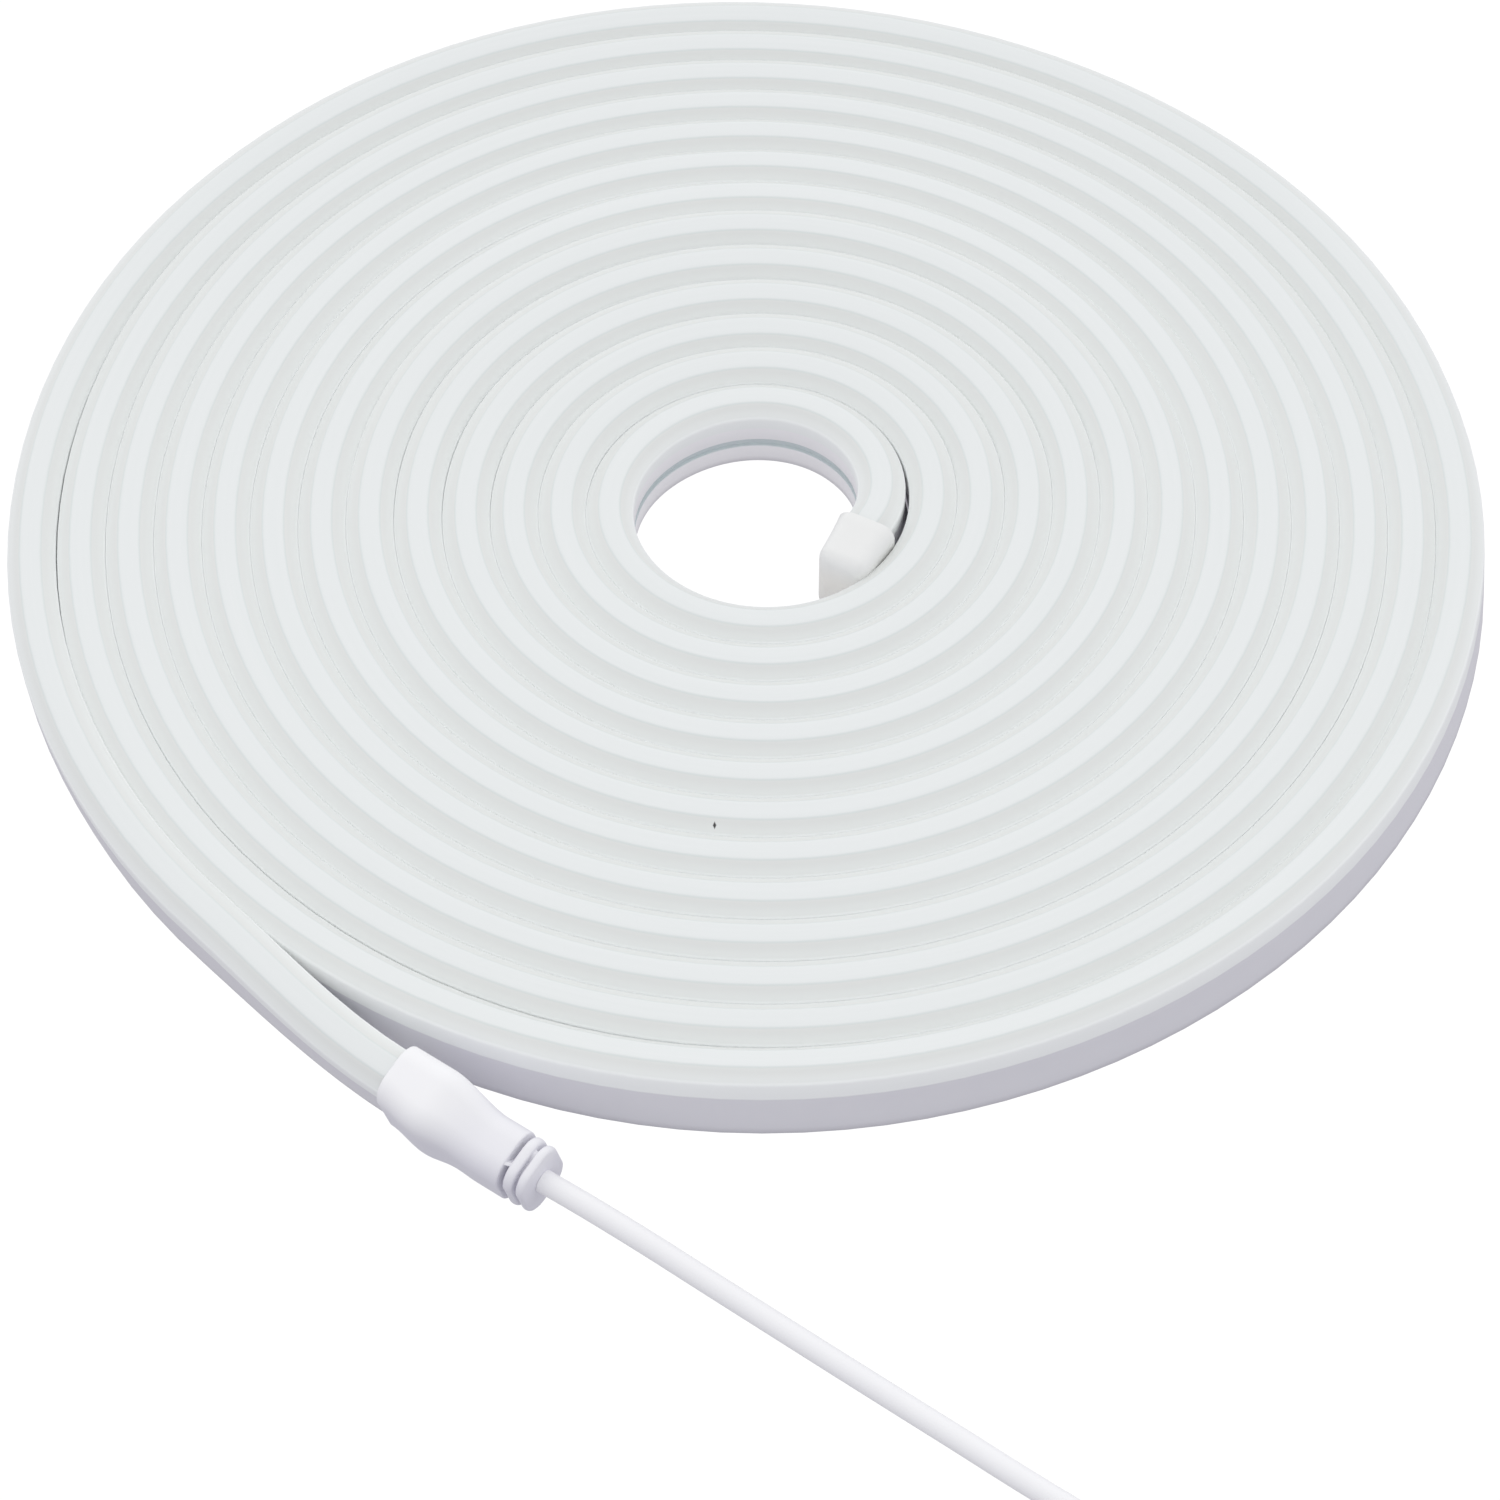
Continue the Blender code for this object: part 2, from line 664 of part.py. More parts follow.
build_strip(strip_white)
build_cap(cap_milky)
build_connector(moulding_white)
build_tube("power_cord", [cord_start()] + CORD_ROUTE, cord_white)
build_cord_coil(cord_white)
build_tube("power_cord_end", CORD_END_ROUTE, cord_white)
build_plug(plug_white, blade_metal)
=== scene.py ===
import math

import bmesh
import bpy
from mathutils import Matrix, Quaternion, Vector


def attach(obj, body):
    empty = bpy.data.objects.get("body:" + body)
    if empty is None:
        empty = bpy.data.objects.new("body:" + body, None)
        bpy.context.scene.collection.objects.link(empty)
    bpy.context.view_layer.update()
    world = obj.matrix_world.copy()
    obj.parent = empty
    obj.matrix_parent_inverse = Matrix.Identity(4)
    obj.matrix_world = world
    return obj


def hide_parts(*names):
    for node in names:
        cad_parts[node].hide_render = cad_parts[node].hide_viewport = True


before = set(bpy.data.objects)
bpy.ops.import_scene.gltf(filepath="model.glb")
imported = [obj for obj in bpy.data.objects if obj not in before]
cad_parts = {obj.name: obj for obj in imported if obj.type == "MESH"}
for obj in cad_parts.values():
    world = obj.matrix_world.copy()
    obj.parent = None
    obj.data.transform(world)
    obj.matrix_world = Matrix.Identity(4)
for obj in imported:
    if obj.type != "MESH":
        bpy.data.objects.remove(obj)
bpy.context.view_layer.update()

bodyName = "root"


# The camera, set where the photograph was taken from

viewpoint = dict(
    target=(0.00062, -0.08579, 0.0227),
    distance=1.29349,
    elevation=51.352,      # degrees above the floor
    roll=-0.171,           # degrees
    lens=110.853,
    sensor=36.0,
)


def makeCamera():
    camera = bpy.data.cameras.new("camera")
    camera.lens = viewpoint["lens"]
    camera.sensor_width = viewpoint["sensor"]
    item = bpy.data.objects.new("camera", camera)
    bpy.context.scene.collection.objects.link(item)
    elevation = math.radians(viewpoint["elevation"])
    away = Vector((0.0, -math.cos(elevation), math.sin(elevation)))
    turn = (-away).to_track_quat("-Z", "Y") @ Quaternion((0.0, 0.0, 1.0), math.radians(viewpoint["roll"]))
    item.location = Vector(viewpoint["target"]) + viewpoint["distance"] * away
    item.rotation_euler = turn.to_euler()
    bpy.context.scene.camera = item


# Shader trees

class Wire:
    # One socket of a shader tree. Sums of wires add their Math nodes.

    def __init__(self, finish, socket):
        self.finish = finish
        self.socket = socket

    def combine(self, operation, first, second=0.0):
        return self.finish.node("ShaderNodeMath", dict(operation=operation), {0: first, 1: second})

    def __add__(self, other):
        return self.combine("ADD", self, other)

    def __radd__(self, other):
        return self.combine("ADD", other, self)

    def __sub__(self, other):
        return self.combine("SUBTRACT", self, other)

    def __rsub__(self, other):
        return self.combine("SUBTRACT", other, self)

    def __mul__(self, other):
        return self.combine("MULTIPLY", self, other)

    def __rmul__(self, other):
        return self.combine("MULTIPLY", other, self)

    def __abs__(self):
        return self.combine("ABSOLUTE", self)


class Finish:
    # A material with one Principled shader, and a short way to add nodes to its tree.

    def __init__(self, name, **constants):
        self.material = bpy.data.materials.new(name)
        self.material.use_nodes = True
        self.tree = self.material.node_tree
        self.shader = self.tree.nodes["Principled BSDF"]
        for socket, value in constants.items():
            self.shader.inputs[socket.replace("_", " ")].default_value = value

    def node(self, kind, settings=None, values=None, output=0):
        made = self.tree.nodes.new(kind)
        for name, value in (settings or {}).items():
            setattr(made, name, value)
        for socket, value in (values or {}).items():
            if isinstance(value, Wire):
                self.tree.links.new(value.socket, made.inputs[socket])
            else:
                made.inputs[socket].default_value = value
        return Wire(self, made.outputs[output])

    def mix(self, share, first, second):
        colours = [(*c, 1.0) if isinstance(c, tuple) else c for c in (first, second)]
        settings = dict(data_type="RGBA", clamp_factor=True)
        return self.node("ShaderNodeMix", settings, {0: share, 6: colours[0], 7: colours[1]}, output=2)

    def fade(self, value, low, high):
        # 0 below low, 1 above high, and smooth between.
        settings = dict(interpolation_type="SMOOTHSTEP")
        return self.node("ShaderNodeMapRange", settings, {0: value, 1: low, 2: high, 3: 0.0, 4: 1.0})

    def noise(self, vector, scale, detail=3.0, roughness=0.5):
        values = {"Vector": vector, "Scale": scale, "Detail": detail, "Roughness": roughness}
        return self.node("ShaderNodeTexNoise", {}, values)

    def place(self):
        return self.node("ShaderNodeTexCoord", {}, {}, output="Object")

    def stretched(self, vector, scale):
        return self.node("ShaderNodeMapping", {}, {"Vector": vector, "Scale": scale})

    def split(self, vector):
        parts = self.node("ShaderNodeSeparateXYZ", {}, {0: vector})
        outputs = parts.socket.node.outputs
        return [Wire(self, outputs[index]) for index in range(3)]

    def attribute(self, name):
        return self.node("ShaderNodeAttribute", dict(attribute_name=name), {}, output="Vector")

    def feed(self, socket, wire):
        self.tree.links.new(wire.socket, self.shader.inputs[socket])


# Shared shape helpers

sharpEdge = math.radians(40.0)    # faces that meet at more than this keep a sharp edge
sharpSweep = math.radians(38.0)


def addMesh(name, shape, material):
    bmesh.ops.recalc_face_normals(shape, faces=shape.faces)
    mesh = bpy.data.meshes.new(name)
    shape.to_mesh(mesh)
    shape.free()
    mesh.shade_smooth()
    mesh.set_sharp_from_angle(angle=sharpEdge)
    mesh.materials.append(material)
    item = bpy.data.objects.new(name, mesh)
    bpy.context.scene.collection.objects.link(item)
    return item


def addRouteCurve(name, points, tilts=None):
    curve = bpy.data.curves.new(name, "CURVE")
    curve.dimensions = "3D"
    spline = curve.splines.new("POLY")
    spline.points.add(len(points) - 1)
    for index, (point, place) in enumerate(zip(spline.points, points)):
        point.co = (*place, 1.0)
        if tilts:
            point.tilt = tilts[index]
    spline.use_smooth = True
    item = bpy.data.objects.new(name, curve)
    bpy.context.scene.collection.objects.link(item)
    return item


def smooth(value):
    value = min(1.0, max(0.0, value))
    return value * value * (3.0 - 2.0 * value)


def rising(value, start, length):
    # 0 up to the start, 1 after the length, and smooth between.
    return smooth((value - start) / length)


def smoothRoute(points, spacing):
    # Evenly spaced points on a smooth curve through the chosen ones.
    chosen = [Vector(point) for point in points]
    ends = [2 * chosen[0] - chosen[1]] + chosen + [2 * chosen[-1] - chosen[-2]]
    fine = [chosen[0]]
    steps = 24
    for before, start, end, after in zip(ends, ends[1:], ends[2:], ends[3:]):
        for index in range(1, steps + 1):
            t = index / steps
            fine.append(0.5 * (
                2 * start + (end - before) * t
                + (2 * before - 5 * start + 4 * end - after) * t * t
                + (3 * start - before - 3 * end + after) * t * t * t
            ))
    lengths = [0.0]
    for start, end in zip(fine, fine[1:]):
        lengths.append(lengths[-1] + (end - start).length)
    count = round(lengths[-1] / spacing) + 1
    route = []
    piece = 0
    for index in range(count):
        wanted = lengths[-1] * index / (count - 1)
        while piece < len(fine) - 2 and lengths[piece + 1] < wanted:
            piece += 1
        share = (wanted - lengths[piece]) / (lengths[piece + 1] - lengths[piece])
        route.append(fine[piece].lerp(fine[piece + 1], share))
    return route


def roundedOutline(width, height, corner, centreUp, steps):
    # A rounded rectangle as (across, up) points, anticlockwise.
    points = []
    for quarter in range(4):
        side = 1 if quarter in (0, 3) else -1
        rise = 1 if quarter in (0, 1) else -1
        for index in range(steps):
            angle = (quarter + index / (steps - 1)) * math.pi / 2
            points.append((
                side * (width / 2 - corner) + corner * math.cos(angle),
                centreUp + rise * (height / 2 - corner) + corner * math.sin(angle),
            ))
    return points


def loft(sections):
    shape = bmesh.new()
    rings = [[shape.verts.new(point) for point in section] for section in sections]
    for back, front in zip(rings, rings[1:]):
        count = len(back)
        for index in range(count):
            other = (index + 1) % count
            shape.faces.new((back[index], back[other], front[other], front[index]))
    shape.faces.new(list(reversed(rings[0])))
    shape.faces.new(rings[-1])
    return shape


# The way the strip is wound: the same rule as the frame's, with the small unevenness of the real turns

winding = dict(
    axis=(0.0035, 0.01038),   # middle of the coil
    startAngle=-15.0,         # degrees round the axis, at the cap
    startRadius=0.0365,
    pitch=0.0140,
    turns=12.6667,
    pointsPerTurn=120,
    curlTurn=0.1667,          # the first part of a turn curls in, clear of the next one
    curlGap=0.0026,
    curlBend=-13.0,           # degrees
    capLift=0.0015,           # the cap's wall is under the strip there
    tailLength=0.076,         # the free end, from the coil to the connector
    tailBend=10.0,            # degrees
    tailRoll=15.0,            # degrees
    tailLift=0.00189,
    tailPoints=8,
    pointsPerTailPoint=5,
    leavingRoll=9.0,          # how far the strip leans out where it leaves the coil
)

strip = dict(
    width=0.01410,            # a little over the pitch, so that the turns press together
    baseHeight=0.0153,
    wallTop=0.0194,
    height=0.0227,
    bandWidth=0.0062,         # the lit band on its top
    footRound=0.0014,
    grooveTop=0.0103,         # a groove along the wall that faces the axis
    grooveBottom=0.0077,
    grooveDepth=0.0010,
    capEnd=0.0067,            # how far it runs into the cap
    connectorEnd=0.0077,      # and into the connector
    outerBaseTint=((0.735, 0.73, 0.775), (0.765, 0.76, 0.80)),
    # the wall that faces the axis is painted lighter and less lilac: painted light on that side
    innerBasePaintedLight=((0.955, 0.945, 0.965), (0.97, 0.96, 0.975)),
    # painted shade low on the walls, near the floor
    footShadeTint=(0.40, 0.39, 0.43),
    # painted shade in the groove, a darker teal
    grooveShadeTint=(0.68, 0.74, 0.755),
    shoulderTint=((0.775, 0.798, 0.785), (0.80, 0.81, 0.792)),
    # the shoulders are painted lighter towards the crease and the lip: painted light in the creases between the
    # turns
    creasePaintedLight=(0.86, 0.885, 0.875),
    lipPaintedLight=(0.95, 0.97, 0.965),
    bandTint=((0.805, 0.835, 0.83), (0.84, 0.862, 0.86)),
    # painted shade: a thin darker line in the dips at the band's edges
    bandEdgeShadeTint=(0.66, 0.73, 0.72),
    outermostFrom=(8.55, 8.66),   # metres along the strip, where nothing covers its outer wall any more
    speck=(-0.00925, -0.11118),   # a grain of dirt on one turn
    speckTint=(0.05, 0.05, 0.05),
)

unevenness = dict(
    # How far a turn's lit band lies outside the even spiral: share of the pitch, where, and its reach round it.
    innerBack=(-0.13, 128.0, 75.0),
    middleBack=(0.15, 91.0, 85.0),
    outerBack=(-0.062, 62.0, 70.0),   # at each turn, and added up
    lastBack=(-0.020, 95.0, 80.0),    # the same, from a turn later
    right=(-0.035, 315.0, 50.0),
    front=(0.04, 270.0, 42.0),
    left=(0.035, 178.0, 45.0),
    outermost=(-0.075, 305.0, 85.0),
    # How far a turn leans in at the top, in degrees.
    firstLean=1.0,
    innerLean=6.5,
    outerLean=1.6,                    # at each turn, and added up
    outermostLean=8.7,
    outerTurn=6,                      # the outer turns at the back begin after this one
)


class Place:
    # A point under the strip's centre line, with the way it heads, its roll about the outer foot and its lift.

    def __init__(self, x, y, heading, roll=0.0, lift=0.0):
        self.x = x
        self.y = y
        self.heading = heading
        self.roll = roll
        self.lift = lift

    def ahead(self, distance):
        return Place(
            self.x + distance * math.cos(self.heading), self.y + distance * math.sin(self.heading),
            self.heading, self.roll, self.lift,
        )

    def world(self, across, up, along=0.0):
        pivot = winding["pitch"] / 2
        offset = across - pivot
        side = pivot + offset * math.cos(self.roll) + up * math.sin(self.roll)
        height = self.lift + up * math.cos(self.roll) - offset * math.sin(self.roll)
        axisX, axisY = winding["axis"]
        return Vector((
            axisX + self.x + side * math.sin(self.heading) + along * math.cos(self.heading),
            axisY + self.y - side * math.cos(self.heading) + along * math.sin(self.heading),
            height,
        ))


def coilPlace(turn):
    angle = math.radians(winding["startAngle"]) + math.tau * turn
    curl = max(0.0, 1.0 - turn / winding["curlTurn"]) ** 2
    radius = winding["startRadius"] + winding["pitch"] * turn - winding["curlGap"] * curl
    heading = angle + math.pi / 2 + math.radians(winding["curlBend"]) * curl
    return Place(radius * math.cos(angle), radius * math.sin(angle), heading, 0.0, winding["capLift"] * curl)


def apart(angle, middle):
    # The angle between two ways round the coil, all in degrees.
    return abs((angle - middle + 180.0) % 360.0 - 180.0)


def near(angle, middle, reach):
    # 1 at an angle round the coil and 0 at its reach away.
    return smooth(1.0 - apart(angle, middle) / reach)


def angleAt(turn):
    return winding["startAngle"] + 360.0 * turn


def timesBehind(turn):
    # How many times the strip has passed the back by then.
    return round((angleAt(turn) - 90.0) / 360.0)


def looseness(turn):
    # How far a turn's lit band lies outside the even spiral, as a share of the pitch.
    passed = timesBehind(turn)
    outerTurn = unevenness["outerTurn"]

    def part(name):
        share, middle, reach = unevenness[name]
        return share * near(angleAt(turn), middle, reach)

    inner = part("innerBack") * (1.0 - rising(passed, 1.5, 4.0))
    middle = part("middleBack") * rising(passed, 2.0, 5.0)
    outer = part("outerBack") * max(0, passed - outerTurn) + part("lastBack") * max(0, passed - outerTurn - 1)
    right = part("right") * rising(turn, 1.0, 6.0) * (1.0 - rising(turn, 7.5, 5.0))
    front = part("front") * rising(turn, 7.0, 4.5)
    left = part("left") * rising(turn, 11.4, 1.0)
    outermost = part("outermost") * rising(turn, 11.6, 0.3)
    return inner + middle + outer + right + front + left + outermost


def lean(turn):
    # How far a turn leans in at the top, in degrees. The back turns lean most, and so does the outermost turn.
    passed = timesBehind(turn)
    atBack = 1.0 - rising(apart(angleAt(turn), 90.0), 55.0, 45.0)
    if passed >= unevenness["outerTurn"]:
        back = atBack * unevenness["outerLean"] * (passed - unevenness["outerTurn"])
    else:
        back = atBack * unevenness["innerLean" if passed > 0 else "firstLean"]
    outermost = unevenness["outermostLean"] * rising(turn, 11.55, 0.25) * (1.0 - rising(turn, 11.90, 0.35))
    leaving = winding["leavingRoll"] * rising(turn, 12.55, 0.085)
    return max(back, outermost) - leaving


def leavingPlace():
    # The end of the coil, where the strip heads along the spiral and no longer round the axis.
    place = coilPlace(winding["turns"])
    place.heading -= math.atan(winding["pitch"] / math.tau / math.hypot(place.x, place.y))
    return place


def tailPlaces():
    place = leavingPlace()
    count = winding["tailPoints"]
    places = []
    for index in range(1, count + 1):
        share = smooth(index / count)
        place = place.ahead(winding["tailLength"] / count)
        place.heading += math.radians(winding["tailBend"]) / count
        place.roll = math.radians(winding["tailRoll"]) * share
        place.lift = winding["tailLift"] * share
        places.append(place)
    return places


def stripSection():
    # Closed outline of the strip, (across, up), clockwise seen from the way it heads.
    half = strip["width"] / 2
    band = strip["bandWidth"] / 2
    base, wall, top = strip["baseHeight"], strip["wallTop"], strip["height"]
    tiny = 0.0001
    side = [
        (-half, base - 2 * tiny), (-half, base + 2 * tiny),
        (-half, wall - 6 * tiny), (-half + 1.2 * tiny, wall - tiny),
    ]
    slopeStart = (-half + 5 * tiny, wall + 3.5 * tiny)
    slopeEnd = (-band - 2.5 * tiny, top - 3.5 * tiny)
    slopeSteps = 4
    shoulder = []
    for index in range(slopeSteps + 1):
        t = index / slopeSteps
        shoulder.append(tuple(a + (b - a) * t for a, b in zip(slopeStart, slopeEnd)))
    dip = [(-band - 0.2 * tiny, top - 2.8 * tiny), (-band + 2.2 * tiny, top - tiny)]
    crown = [(-band + 8 * tiny, top - 0.4 * tiny), (-band * 0.35, top), (0.0, top)]
    leftTop = side + shoulder + dip + crown
    rightTop = [(-across, up) for across, up in reversed(leftTop[:-1])]
    low, high, deep = strip["grooveBottom"], strip["grooveTop"], -half + strip["grooveDepth"]
    groove = [
        (-half, low - 3 * tiny), (-half + tiny, low), (deep, low + tiny),
        (deep, high - tiny), (-half + tiny, high), (-half, high + 3 * tiny),
    ]
    foot = strip["footRound"]
    footSteps = 3
    under = []
    for index in range(footSteps + 1):
        angle = index / footSteps * math.pi / 2
        under.append((half - foot + foot * math.cos(angle), foot - foot * math.sin(angle)))
    inner = [(-across, up) for across, up in reversed(under)]
    outerWall = [(half, 0.0060)]
    return leftTop + rightTop + outerWall + under + inner + groove


def sweepTree(material):
    # Sweeps a flat section along the object's own curve, and keeps where each point lies on the section.
    tree = bpy.data.node_groups.new("sweepSection", "GeometryNodeTree")
    tree.interface.new_socket("Geometry", in_out="INPUT", socket_type="NodeSocketGeometry")
    tree.interface.new_socket("Section", in_out="INPUT", socket_type="NodeSocketObject")
    tree.interface.new_socket("Section Scale", in_out="INPUT", socket_type="NodeSocketFloat")
    tree.interface.new_socket("Geometry", in_out="OUTPUT", socket_type="NodeSocketGeometry")
    node = tree.nodes.new
    link = tree.links.new
    start = node("NodeGroupInput")
    end = node("NodeGroupOutput")
    section = node("GeometryNodeObjectInfo")
    placed = node("GeometryNodeInputPosition")
    parts = node("ShaderNodeSeparateXYZ")
    runs = node("GeometryNodeSplineParameter")
    keepSection = node("GeometryNodeCaptureAttribute")
    keepSection.capture_items.new("VECTOR", "place")
    keepRun = node("GeometryNodeCaptureAttribute")
    keepRun.capture_items.new("FLOAT", "run")
    upright = node("GeometryNodeSetCurveNormal")
    upright.mode = "Z_UP"
    sweep = node("GeometryNodeCurveToMesh")
    sweep.inputs["Fill Caps"].default_value = True
    together = node("ShaderNodeCombineXYZ")
    store = node("GeometryNodeStoreNamedAttribute")
    store.data_type = "FLOAT_VECTOR"
    store.domain = "POINT"
    store.inputs["Name"].default_value = "section"
    realize = node("GeometryNodeRealizeInstances")
    paint = node("GeometryNodeSetMaterial")
    paint.inputs["Material"].default_value = material
    link(start.outputs["Section"], section.inputs["Object"])
    link(section.outputs["Geometry"], keepSection.inputs["Geometry"])
    link(placed.outputs["Position"], keepSection.inputs["place"])
    link(start.outputs["Geometry"], keepRun.inputs["Geometry"])
    link(runs.outputs["Length"], keepRun.inputs["run"])
    link(keepRun.outputs["Geometry"], upright.inputs["Curve"])
    link(upright.outputs["Curve"], sweep.inputs["Curve"])
    link(keepSection.outputs["Geometry"], sweep.inputs["Profile Curve"])
    link(start.outputs["Section Scale"], sweep.inputs["Scale"])
    link(keepSection.outputs["place"], parts.inputs[0])
    link(parts.outputs["X"], together.inputs["X"])
    link(parts.outputs["Y"], together.inputs["Y"])
    link(keepRun.outputs["run"], together.inputs["Z"])
    link(sweep.outputs["Mesh"], store.inputs["Geometry"])
    link(together.outputs["Vector"], store.inputs["Value"])
    link(store.outputs["Geometry"], realize.inputs["Geometry"])
    link(realize.outputs["Geometry"], paint.inputs["Geometry"])
    link(paint.outputs["Geometry"], end.inputs["Geometry"])
    return tree


def sweepAlong(name, path, section, scale, material):
    # The plain mesh of a section swept along a path. The section's up is the curve's downward side.
    outline = addRouteCurve(name + "Outline", [(across, -up, 0.0) for across, up in section])
    outline.data.splines[0].use_cyclic_u = True
    tree = sweepTree(material)
    step = path.modifiers.new("sweep", "NODES")
    step.node_group = tree
    sockets = {item.name: item.identifier for item in tree.interface.items_tree if item.in_out == "INPUT"}
    step[sockets["Section"]] = outline
    step[sockets["Section Scale"]] = scale
    bpy.context.view_layer.update()
    evaluated = path.evaluated_get(bpy.context.evaluated_depsgraph_get())
    mesh = bpy.data.meshes.new_from_object(evaluated)
    bpy.data.objects.remove(path)
    bpy.data.objects.remove(outline)
    shape = bmesh.new()
    shape.from_mesh(mesh)
    bmesh.ops.recalc_face_normals(shape, faces=shape.faces)
    shape.to_mesh(mesh)
    shape.free()
    mesh.name = name
    mesh.shade_smooth()
    mesh.set_sharp_from_angle(angle=sharpSweep)
    item = bpy.data.objects.new(name, mesh)
    bpy.context.scene.collection.objects.link(item)
    return item


def strandPoint(place, bandSide, roll):
    # The middle of the strip's underside, for a band that stays where it is while the strip leans.
    side = bandSide - strip["height"] * math.sin(roll)
    height = place.lift + strip["width"] / 2 * math.sin(abs(roll))
    flat = Place(place.x, place.y, place.heading)
    point = flat.world(side, 0.0)
    return Vector((point.x, point.y, height))


def bandSide(place):
    # How far outside its place the band of the tail lies when it has rolled over.
    pivot = winding["pitch"] / 2
    return pivot * (1.0 - math.cos(place.roll)) + strip["height"] * math.sin(place.roll)


def tailStrands():
    # A smooth way through the tail's places, as points and rolls.
    start = leavingPlace()
    chosen = [start] + tailPlaces()
    step = winding["tailLength"] / winding["tailPoints"]
    halfBend = math.radians(winding["tailBend"]) / winding["tailPoints"] / 2
    leaving = math.radians(winding["leavingRoll"])
    full = math.radians(winding["tailRoll"])
    strands = []
    for back, front in zip(chosen, chosen[1:]):
        for index in range(1, winding["pointsPerTailPoint"] + 1):
            t = index / winding["pointsPerTailPoint"]
            backWay = back.heading - halfBend if back is not start else back.heading
            frontWay = front.heading - halfBend
            atBack, atFront = 2 * t ** 3 - 3 * t ** 2 + 1.0, -2 * t ** 3 + 3 * t ** 2
            fromBack, toFront = step * (t ** 3 - 2 * t ** 2 + t), step * (t ** 3 - t ** 2)
            x = atBack * back.x + atFront * front.x + fromBack * math.cos(backWay) + toFront * math.cos(frontWay)
            y = atBack * back.y + atFront * front.y + fromBack * math.sin(backWay) + toFront * math.sin(frontWay)
            between = Place(
                x, y, backWay + (frontWay - backWay) * t,
                back.roll + (front.roll - back.roll) * t, back.lift + (front.lift - back.lift) * t,
            )
            roll = leaving + (full - leaving) * between.roll / full
            strands.append((strandPoint(between, bandSide(between), roll), roll))
    return strands, chosen[-1]


def makeStrip(material):
    first = coilPlace(0.0)
    strands = [(strandPoint(first.ahead(-strip["capEnd"]), 0.0, 0.0), 0.0)]
    count = round(winding["turns"] * winding["pointsPerTurn"])
    for index in range(count + 1):
        turn = winding["turns"] * index / count
        roll = -math.radians(lean(turn))
        strands.append((strandPoint(coilPlace(turn), winding["pitch"] * looseness(turn), roll), roll))
    tail, last = tailStrands()
    end = last.ahead(strip["connectorEnd"])
    strands += tail + [(strandPoint(end, bandSide(end), end.roll), end.roll)]
    path = addRouteCurve("stripPath", [point for point, _ in strands], [roll for _, roll in strands])
    item = sweepAlong("strip", path, stripSection(), 1.0, material)
    print("strip wound,", len(item.data.polygons), "faces")
    return item


# The milky light strip, white below and paler on top

def stripMaterial():
    # The section attribute says how far across, how far down and how far along the strip a point lies.
    finish = Finish("stripMilky", Roughness=0.42, IOR=1.45)
    section = finish.attribute("section")
    across, down, run = finish.split(section)
    up = 0.0 - down
    offset = abs(across)
    half, band = strip["width"] / 2, strip["bandWidth"] / 2
    soft = 0.0002             # half the width of the softest lines between two tints
    grain = finish.noise(finish.place(), 90.0)
    streaks = finish.noise(finish.stretched(section, (700.0, 700.0, 9.0)), 1.0, 4.0, 0.6)

    # The wall that faces the axis is painted lighter and less lilac than the outer wall: painted light on that
    # side.
    inside = finish.fade(across, 0.002, -0.002)
    base = finish.mix(
        inside, finish.mix(grain, *strip["outerBaseTint"]), finish.mix(grain, *strip["innerBasePaintedLight"]),
    )
    # Painted shade near the floor: the walls grow darker over their lowest few millimetres.
    foot = finish.fade(up, 0.0034, 0.0004)
    base = finish.mix(foot * 0.45, base, strip["footShadeTint"])
    # Painted shade in the groove on the wall that faces the axis: a darker teal tint.
    grooveMiddle = (strip["grooveTop"] + strip["grooveBottom"]) / 2
    inGroove = finish.fade(abs(up - grooveMiddle), 0.00175, 0.00125) * inside
    base = finish.mix(inGroove, base, strip["grooveShadeTint"])

    shoulder = finish.mix(streaks, *strip["shoulderTint"])
    # Painted light: the shoulders grow lighter towards the crease where two turns press together, and lightest
    # at the lip, standing in for light carried through the milky strip.
    creaseLightMask = finish.fade(offset, band + 0.0004, half - 0.0003)
    shoulder = finish.mix(creaseLightMask * 0.8, shoulder, strip["creasePaintedLight"])
    lip = finish.fade(offset, half - 0.0007, half - soft)
    shoulder = finish.mix(lip * 0.85, shoulder, strip["lipPaintedLight"])

    outermost = finish.fade(run, *strip["outermostFrom"]) * (1.0 - inside)
    milkyFrom, milkyBlend = strip["baseHeight"], 0.0003
    milky = finish.fade(up + 0.0013 * outermost, milkyFrom - milkyBlend, milkyFrom + milkyBlend)
    colour = finish.mix(milky, base, shoulder)
    onBand = 1.0 - finish.fade(offset, band - soft, band + soft)
    colour = finish.mix(onBand * milky, colour, finish.mix(streaks, *strip["bandTint"]))
    # Painted shade: a thin darker line in the dips along the band's edges.
    bandEdgeShadeMask = finish.fade(abs(offset - band), 0.00042, 0.0001)
    colour = finish.mix(bandEdgeShadeMask * milky * 0.35, colour, strip["bandEdgeShadeTint"])

    x, y, _ = finish.split(finish.place())
    speckX, speckY = strip["speck"]
    speck = finish.fade(abs(x - speckX) + abs(y - speckY) * 0.6, 0.00065, 0.00030)
    colour = finish.mix(speck * milky, colour, strip["speckTint"])
    finish.feed("Base Color", colour)
    finish.feed("Roughness", 0.36 + 0.12 * streaks)
    return finish.material


# The end cap, on the inner end of the strip

cap = dict(
    length=0.0215,
    socket=0.0070,            # how deep the strip's end sits in it
    wall=0.0015,
    footCorner=0.0030,
    crownWidth=0.0070,        # the flat middle of its top
    crownDrop=0.0050,         # how far the top falls away to its sides
    crownPower=0.85,          # under 1 makes the top's sides fuller than an ellipse
    draft=0.0010,
    tipRound=0.0038,
    lip=0.0004,
    mouth=0.0034,             # the strip's side of it, from the front of its socket
    bulge=0.0012,             # it is pressed against the next turn
    tint=((0.855, 0.86, 0.85), (0.89, 0.895, 0.885)),
    cloudTint=(0.80, 0.81, 0.80),
    # painted light: lighter and warmer low down
    lowPaintedLightTint=(0.95, 0.93, 0.87),
)


